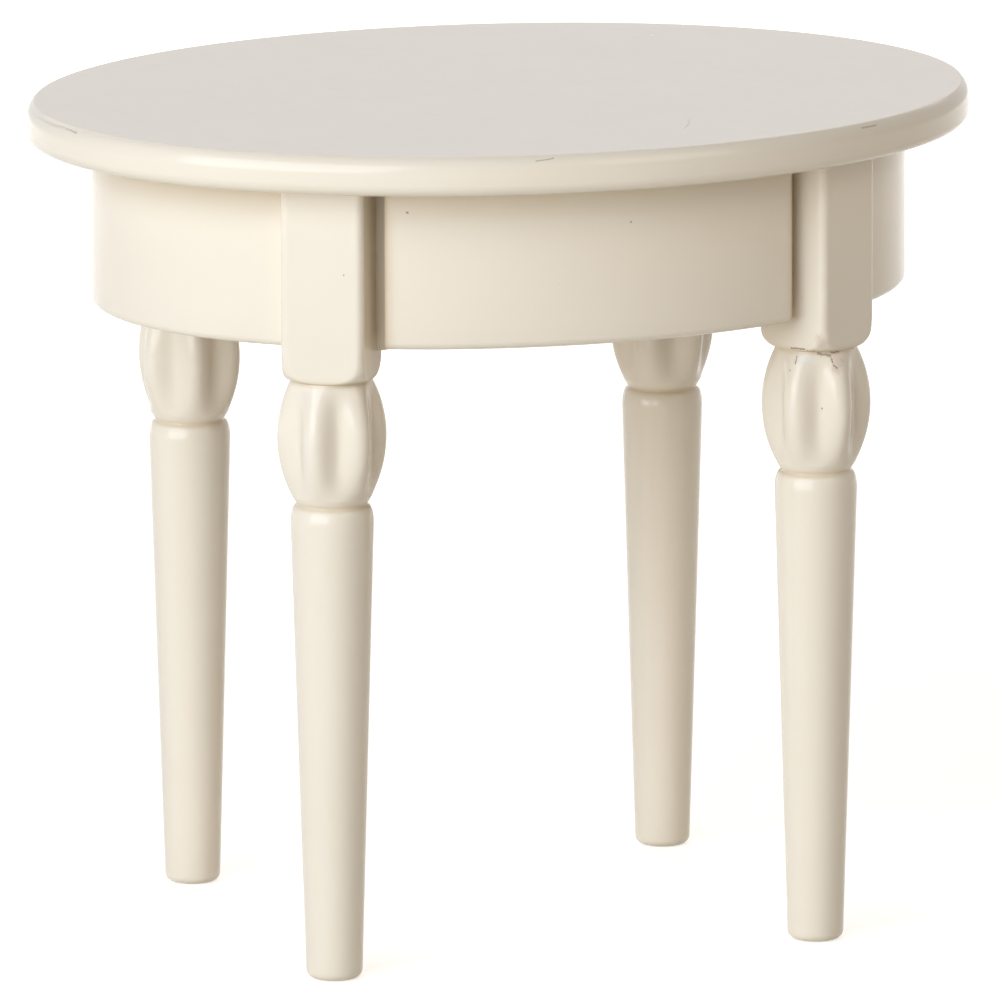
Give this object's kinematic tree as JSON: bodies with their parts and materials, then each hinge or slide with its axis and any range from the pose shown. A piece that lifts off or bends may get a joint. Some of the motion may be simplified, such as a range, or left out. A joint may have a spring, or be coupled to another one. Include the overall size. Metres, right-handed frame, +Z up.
{
  "type": "miniature dining table",
  "caption": "Miniature oval dining table with a round-edged top, a curved apron and turned legs with square heads and fluted balusters, painted cream.",
  "frame": {"origin": "on the floor under the middle of the oval top", "axes": "+X along the oval's length, -Y towards the front, +Z up"},
  "size_m": [0.0728, 0.058, 0.0635],
  "materials": {
    "cream_paint": "cream gloss paint over close-grained wood",
    "bare_beech": "bare turned dowel"
  },
  "bodies": {
    "root": {"tabletop": "cream_paint", "apron_front": "cream_paint", "apron_back": "cream_paint", "apron_left": "cream_paint", "apron_right": "cream_paint", "leg_front_left": "cream_paint", "leg_front_right": "cream_paint", "leg_back_left": "cream_paint", "leg_back_right": "cream_paint", "dowel_front_left_to_front_upper": "bare_beech", "dowel_front_left_to_front_lower": "bare_beech", "dowel_front_left_to_left_upper": "bare_beech", "dowel_front_left_to_left_lower": "bare_beech", "dowel_front_right_to_front_upper": "bare_beech", "dowel_front_right_to_front_lower": "bare_beech", "dowel_front_right_to_right_upper": "bare_beech", "dowel_front_right_to_right_lower": "bare_beech", "dowel_back_left_to_back_upper": "bare_beech", "dowel_back_left_to_back_lower": "bare_beech", "dowel_back_left_to_left_upper": "bare_beech", "dowel_back_left_to_left_lower": "bare_beech", "dowel_back_right_to_back_upper": "bare_beech", "dowel_back_right_to_back_lower": "bare_beech", "dowel_back_right_to_right_upper": "bare_beech", "dowel_back_right_to_right_lower": "bare_beech", "top_dowel_front_left": "bare_beech", "top_dowel_front_right": "bare_beech", "top_dowel_back_left": "bare_beech", "top_dowel_back_right": "bare_beech"}
  },
  "joints": []
}
